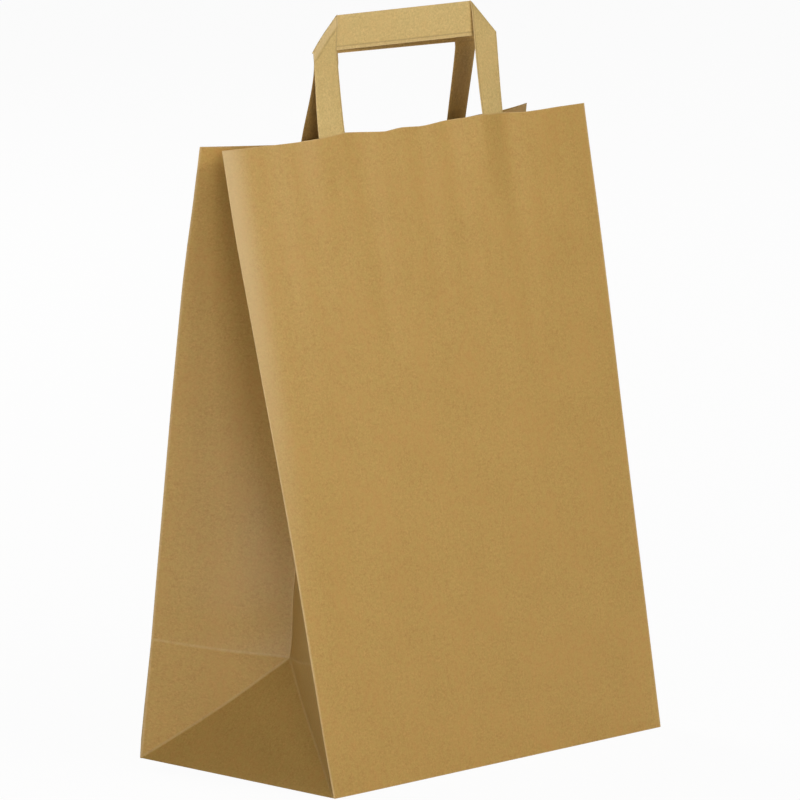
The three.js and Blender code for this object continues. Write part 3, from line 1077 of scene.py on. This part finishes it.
@dataclass
class FlatHandle:
    """A flat tape of glued plies: up as a leg, over on a 45 degree line, across as the bar, and down again."""

    name: str
    node: str
    form: BagForm
    wall: Wall
    width: float = TAPE_WIDTH
    thickness: float = 0.0006
    outer: float = 0.0828
    top: float = TAPE_RISE
    depth: float = TAPE_END
    clearance: float = 0.0003
    fold_radius: float = 0.0004
    ply: float = 0.00016
    shift: float = 0.0
    sway: float = 0.0
    joint: float = 0.054
    places: tuple[float, ...] = (-83, -59, 59, 83)
    low_drifts: tuple[float, ...] = (0.4, 3.4, 0.3, 2.1)
    high_drifts: tuple[float, ...] = (0.4, -0.4, -0.7, 1.0)
    left_tautness: float = 0.4
    right_tautness: float = 0.4
    gape: float = 0.0

    @cached_property
    def profile(self) -> tuple[Array, Array, Array]:
        """The tape's closed outline across it.

        One face has a ply's edge near the tape's first edge and the other face has one near its second edge. The
        second edge is a rounded fold, and the first one is a cut edge of several plies.

        Returns:
            How far across the tape the points are, their level over its middle surface, and their place across
            the tape's pattern, where the second face lies beside the first one.
        """
        half, width, cut, step = self.thickness / 2, self.width, 0.0002, 0.00004
        turn = np.linspace(-np.pi / 2, np.pi / 2, 5)
        face = width * np.linspace(0.12, 0.88, 7)
        first = [[0.0, cut], face, [width - LEG_PLY, width - LEG_PLY + step], width - half + half * np.cos(turn)]
        across = np.concatenate([*first, face[::-1], [BAR_PLY, BAR_PLY - step, cut, 0.0]])
        level = np.concatenate(
            [
                [-half + cut / 2, -half],
                np.full(len(face), -half),
                [-half, -half + self.ply],
                between(-half + self.ply, half, (np.sin(turn) + 1) / 2),
                np.full(len(face), half),
                [half, half - self.ply, half - self.ply, half - self.ply - cut / 2],
            ]
        )
        on_first = np.arange(len(across)) < len(face) + len(turn) + 2
        return across, level, np.where(on_first, across, 2 * width - across)

    def _point(self, x: Array, over_rim: Array, inwards: Array) -> Array:
        """A point of the tape.

        Below the rim it lies along the wall. From there a leg is a cubic Hermite curve that leaves the rim along the
        wall's rise and meets the bar's plane along that plane. Above the joint it lies in the bar's plane. The
        corners drift to the rear or the front by what a small table gives for the place and the height.

        Args:
            x: How far to the right of the wall's middle.
            over_rim: How far over the rim.
            inwards: How far inside the middle of the wall's paper.

        Returns:
            The points.
        """
        form, wall, joint = self.form, self.wall, self.joint
        x, over_rim, inwards = np.broadcast_arrays(x, over_rim, inwards)
        shifted = x + self.shift
        on_wall = form.wall_point(wall, shifted, np.minimum(form.height + over_rim, form.height), inwards)
        turn, lean = math.radians(wall.bar_turn), math.radians(wall.bar_lean)
        across = np.array([math.cos(turn), math.sin(turn), math.tan(math.radians(wall.bar_roll))])
        up = np.array([0.0, -wall.side * math.sin(lean), math.cos(lean)])
        inward = unit(np.cross(across, up)) * wall.side
        origin = np.array([self.shift + self.sway, wall.bar_y, wall.bar_z])
        height = np.maximum(over_rim, joint) - self.top
        in_bar = origin + across * x[..., None] + up * height[..., None] + inward * inwards[..., None]
        in_bar[..., 1] += self._drift(x, np.maximum(over_rim, joint))
        t = np.clip(over_rim / joint, 0.0, 1.0)[..., None]
        chord = in_bar - on_wall
        taut = np.where(x < 0, self.left_tautness, self.right_tautness)[..., None]
        leave = between(form.rise(wall, shifted) * joint, chord, taut)
        meet = up * joint * (1.0 - taut)
        leg = (
            on_wall * (2 * t**3 - 3 * t**2 + 1)
            + leave * (t**3 - 2 * t**2 + t)
            + in_bar * (3 * t**2 - 2 * t**3)
            + meet * (t**3 - t**2)
        )
        return form.settled(np.where((over_rim >= joint)[..., None], in_bar, leg))

    def _drift(self, x: Array, over_rim: Array) -> Array:
        """How far to the rear the tape's corners have drifted: straight between the places, smooth between heights."""
        low, high = (Table(self.places, drifts).at(x) for drifts in (self.low_drifts, self.high_drifts))
        return between(low, high, smooth_step(over_rim, self.joint, self.top))

    def _opened(self, points: Array, across: Array, over_rim: Array) -> Array:
        """Opens a corner's fold, so that the leg stands off the bar where it crosses it.

        The leg moves outwards by its distance below the slanted fold, as a share of the tape's width.

        Args:
            points: The leg's points.
            across: How far across the tape they are.
            over_rim: How far over the rim.

        Returns:
            The moved points.
        """
        below = np.clip((self.top - self.width + across - over_rim) / self.width, 0.0, 1.0)
        share = np.sqrt(below) * across / self.width * smooth_step(over_rim, 0.004, 0.055)
        moved = points.copy()
        moved[..., 1] += self.wall.side * self.gape * share
        return moved

    @property
    def leg_level(self) -> float:
        """How far a leg's middle surface is from the middle of the wall's paper."""
        return self.form.layer / 2 + self.clearance + self.thickness / 2

    def _leg_rows(self, side: int) -> tuple[Array, Array]:
        """Rows of the profile up one leg, the last ones slanting towards the fold.

        Args:
            side: -1 for the left leg and 1 for the right one.

        Returns:
            The rows' points, and how far along the tape each is.
        """
        across, level, _ = self.profile
        plain, slanting = 23, 5
        low = np.linspace(-self.depth, 0.040, plain)
        high = np.linspace(0.044, self.top - self.width, slanting)
        slant = np.concatenate([np.zeros(plain), np.linspace(0.25, 0.985, slanting)])
        over_rim = np.concatenate([low, high])[:, None] + slant[:, None] * across
        points = self._point(side * (self.outer - across), over_rim, self.leg_level + level)
        if side > 0:
            points = self._opened(points, across, over_rim)
        return points, over_rim + self.depth

    def _fold_rows(self, side: int) -> tuple[Array, Array]:
        """Rows of the profile round the fold at one corner.

        The tape turns half round the slanted line, at the fold's radius less the point's level over its middle
        surface.

        Args:
            side: -1 for the left corner and 1 for the right one.

        Returns:
            The rows' points, and how far along the tape each is.
        """
        across, level, _ = self.profile
        turned = np.linspace(0.0, np.pi, 11)[:, None]
        radius = self.fold_radius - level
        outwards = radius * np.sin(turned) / math.sqrt(2)
        inwards = self.leg_level + self.fold_radius - radius * np.cos(turned)
        over_rim = self.top - self.width + across + outwards
        along = self.depth + self.top - self.width + across + 0.0 * turned
        return self._point(side * (self.outer - across + outwards), over_rim, inwards), along

    def _bar_rows(self) -> tuple[Array, Array]:
        """Rows of the profile across the bar, slanting at both ends to meet the folds.

        Returns:
            The rows' points, and how far along the tape each is.
        """
        across, level, _ = self.profile
        reach = 0.046
        middle = np.linspace(-reach, reach, 19)[1:-1, None]
        left = between(across - self.outer, -reach, np.linspace(0.03, 0.97, 12)[:, None])
        x = np.concatenate([left, np.broadcast_to(middle, (len(middle), len(across))), -left[::-1]])
        inwards = self.leg_level + 2 * self.fold_radius - level
        along = self.depth + self.top - self.width + self.outer + x
        return self._point(x, self.top - self.width + across, inwards), along

    def shell(self) -> Shell:
        """Joins the left leg, its fold, the bar, the right fold and its leg.

        Returns:
            The whole tape as a closed solid.
        """
        length = 2 * (self.depth + self.top - self.width + self.outer)
        left = [self._leg_rows(-1), self._fold_rows(-1), self._bar_rows()]
        right = [self._fold_rows(1), self._leg_rows(1)]
        points = [rows for rows, _ in left] + [rows[::-1] for rows, _ in right]
        along = [places for _, places in left] + [length - places[::-1] for _, places in right]
        return tube(np.concatenate(points), np.concatenate(along), self.profile[2])

    def build(self, finish: bpy.types.Material) -> None:
        """Makes the handle and dresses it."""
        settle_piece(piece_from(self.name, self.shell(), 35.0), finish, self.node)


@dataclass
class HandlePatch:
    """The paper patch over a handle's two ends, pressed down beside each leg."""

    name: str
    node: str
    form: BagForm
    wall: Wall
    handle: FlatHandle
    width: float = 0.190
    top: float = 0.004
    bottom: float = 0.054
    paper: float = 0.0002
    clearance: float = 0.0003
    cut_from: float = 0.5

    def shell(self) -> Shell:
        """The patch as a closed shell.

        Its level over the wall is the lower one beside the legs and the upper one over them, with a smooth ramp of
        3.5 mm between the two.

        Returns:
            The shell.
        """
        half, inner, outer = self.width / 2, self.handle.outer - self.handle.width, self.handle.outer
        steps = np.linspace(0.0, 0.0055, 12)
        edges = np.concatenate([outer + steps, inner - steps])
        x = merged(np.arange(-half, half + 0.0001, 0.005), edges, -edges)
        below = np.linspace(self.bottom, self.top, 12)
        on_wall = self.paper + self.clearance
        on_leg = on_wall + self.handle.thickness + self.clearance
        beside = np.maximum(inner - np.abs(x), np.abs(x) - outer)
        level = between(on_leg, on_wall, smooth_step(beside, 0.0015, 0.0050))
        across, up = np.meshgrid(x + self.handle.shift, self.form.height - below)
        points = self.form.wall_point(self.wall, across, up, np.broadcast_to(level, across.shape))
        grid = PaperGrid(self.form.settled(points), x + self.cut_from, self.form.height - below, self.paper)
        return grid.shell().outward()

    def build(self, finish: bpy.types.Material) -> None:
        """Makes the patch and dresses it."""
        settle_piece(piece_from(self.name, self.shell()), finish, self.node)


# --- The studio ---


@dataclass(frozen=True)
class SoftLamp:
    """A square studio lamp that looks at the bag."""

    name: str
    place: Triple
    size: float
    power: float

    def build(self, target: Vector) -> None:
        """Makes the lamp.

        Args:
            target: The point that it faces.
        """
        lamp = bpy.data.lights.new(self.name, "AREA")
        lamp.shape = "SQUARE"
        lamp.size = self.size
        lamp.energy = self.power
        holder = added(self.name, lamp)
        holder.location = self.place
        holder.rotation_euler = (target - Vector(self.place)).to_track_quat("-Z", "Y").to_euler()


@dataclass
class Studio:
    """The floor, the lamps, the even light round them and the camera."""

    camera_place: Triple = (-3.64335, -3.51777, 0.95650)
    camera_right: Triple = (0.69166, -0.72185, -0.02340)
    camera_up: Triple = (0.11750, 0.08050, 0.98980)
    lens: float = 341.75
    floor_size: float = 60.0
    floor_tone: Colour = (0.80, 0.79, 0.77)
    floor_white: float = 0.96
    ambient: float = 0.02
    aim: Triple = (0.0, 0.0, 0.22)
    lamps: tuple[SoftLamp, ...] = (
        SoftLamp("key_lamp", (0.0, -3.53, 2.10), 1.4, 36.0),
        SoftLamp("right_lamp", (1.21, -3.32, 2.10), 1.4, 15.0),
        SoftLamp("high_lamp", (0.0, -2.57, 3.26), 1.4, 14.0),
        SoftLamp("near_lamp", (0.0, -0.92, 1.14), 0.6, 0.9),
        SoftLamp("front_low_lamp", (-1.98, -3.43, 0.80), 1.4, 31.0),
        SoftLamp("left_lamp", (-3.43, -1.98, 0.80), 1.4, 31.0),
        SoftLamp("side_lamp", (-3.92, -0.69, 0.80), 1.4, 12.0),
        SoftLamp("rear_lamp", (0.60, 3.70, 2.20), 1.8, 110.0),
    )

    def build_floor(self) -> None:
        """Makes the pale floor. The camera sees it nearly white, and it keeps the bag's shadow."""
        half = self.floor_size / 2
        mesh = bpy.data.meshes.new("floor")
        mesh.from_pydata([(-half, -half, 0), (half, -half, 0), (half, half, 0), (-half, half, 0)], [], [(0, 1, 2, 3)])
        floor = added("floor", mesh)
        material = bpy.data.materials.new("pale_floor")
        tree = NodeTree(material)
        seen = tree.node("ShaderNodeLightPath", None, None, "Is Camera Ray")
        matt = tree.node("ShaderNodeBsdfDiffuse", None, {"Color": (*self.floor_tone, 1.0)})
        white = tree.node("ShaderNodeEmission", None, {"Color": (1.0, 1.0, 1.0, 1.0), "Strength": 1.0})
        inputs = {"Fac": seen * self.floor_white, "Shader": matt, "Shader_001": white}
        shown = tree.node("ShaderNodeMixShader", None, inputs)
        tree.node("ShaderNodeOutputMaterial", None, {"Surface": shown})
        mesh.materials.append(material)

    def build_world(self) -> None:
        """Makes the even light round the bag. The camera sees it white."""
        world = bpy.data.worlds.new("studio")
        bpy.context.scene.world = world
        tree = NodeTree(world)
        seen = tree.node("ShaderNodeLightPath", None, None, "Is Camera Ray")
        strength = seen * (1.0 - self.ambient) + self.ambient
        sky = tree.node("ShaderNodeBackground", None, {"Color": (1.0, 1.0, 1.0, 1.0), "Strength": strength})
        tree.node("ShaderNodeOutputWorld", None, {"Surface": sky})

    def build_camera(self) -> None:
        """Makes the camera at the photograph's viewing angle."""
        data = bpy.data.cameras.new("camera")
        data.sensor_width = 36.0
        data.lens = self.lens
        data.clip_end = 200.0
        camera = added("camera", data)
        right, up = Vector(self.camera_right).normalized(), Vector(self.camera_up)
        back = right.cross(up).normalized()
        up = back.cross(right)
        turn = Matrix((right, up, back)).transposed().to_4x4()
        camera.matrix_world = Matrix.Translation(self.camera_place) @ turn
        bpy.context.scene.camera = camera

    def build(self) -> None:
        """Makes the whole studio."""
        self.build_camera()
        self.build_floor()
        self.build_world()
        for lamp in self.lamps:
            lamp.build(Vector(self.aim))
        bpy.context.scene.view_settings.view_transform = "Standard"


def main() -> None:
    """Builds the studio and the bag, piece by piece."""
    logging.basicConfig(level=logging.INFO, format="%(name)s: %(message)s")
    Studio().build()
    form = BagForm()
    sheet = KraftFinish("kraft_sheet_paper", Pattern.FOLDED_SHEET).material()
    tape = KraftFinish(
        "kraft_tape_paper",
        Pattern.PLIED_TAPE,
        fleck=2.0,
        light=(0.700, 0.500, 0.198),
        dark=(0.530, 0.360, 0.128),
        warm=(0.650, 0.425, 0.158),
        olive=(0.590, 0.440, 0.165),
    ).material()
    # Painted shade: the rear handle gets a darker copy of the tape paper, standing in for the shade it lies in.
    shaded_tape = KraftFinish(
        "shaded_tape_paper",
        Pattern.PLIED_TAPE,
        roughness=0.62,
        fleck=2.0,
        light=(0.520, 0.315, 0.092),
        dark=(0.345, 0.195, 0.050),
        warm=(0.455, 0.240, 0.065),
        olive=(0.415, 0.255, 0.070),
        worn=(0.600, 0.400, 0.150),
    ).material()
    patch = KraftFinish("kraft_patch_paper", Pattern.GLUED_PATCH).material()
    BagSheet(form).build(sheet)
    front = FlatHandle("front_tape_handle", "front_handle", form, FRONT, gape=0.0018)
    rear = FlatHandle(
        "rear_tape_handle",
        "rear_handle",
        form,
        REAR,
        shift=0.0013,
        sway=0.0020,
        left_tautness=0.1,
        right_tautness=0.85,
        low_drifts=(-1.0, -1.0, 0.0, 2.6),
        high_drifts=(-2.2, -2.8, 0.0, 1.0),
    )
    front.build(tape)
    rear.build(shaded_tape)
    HandlePatch("front_glued_patch", "front_handle_patch", form, FRONT, front).build(patch)
    HandlePatch("rear_glued_patch", "rear_handle_patch", form, REAR, rear).build(patch)


if __name__ == "__main__":
    main()
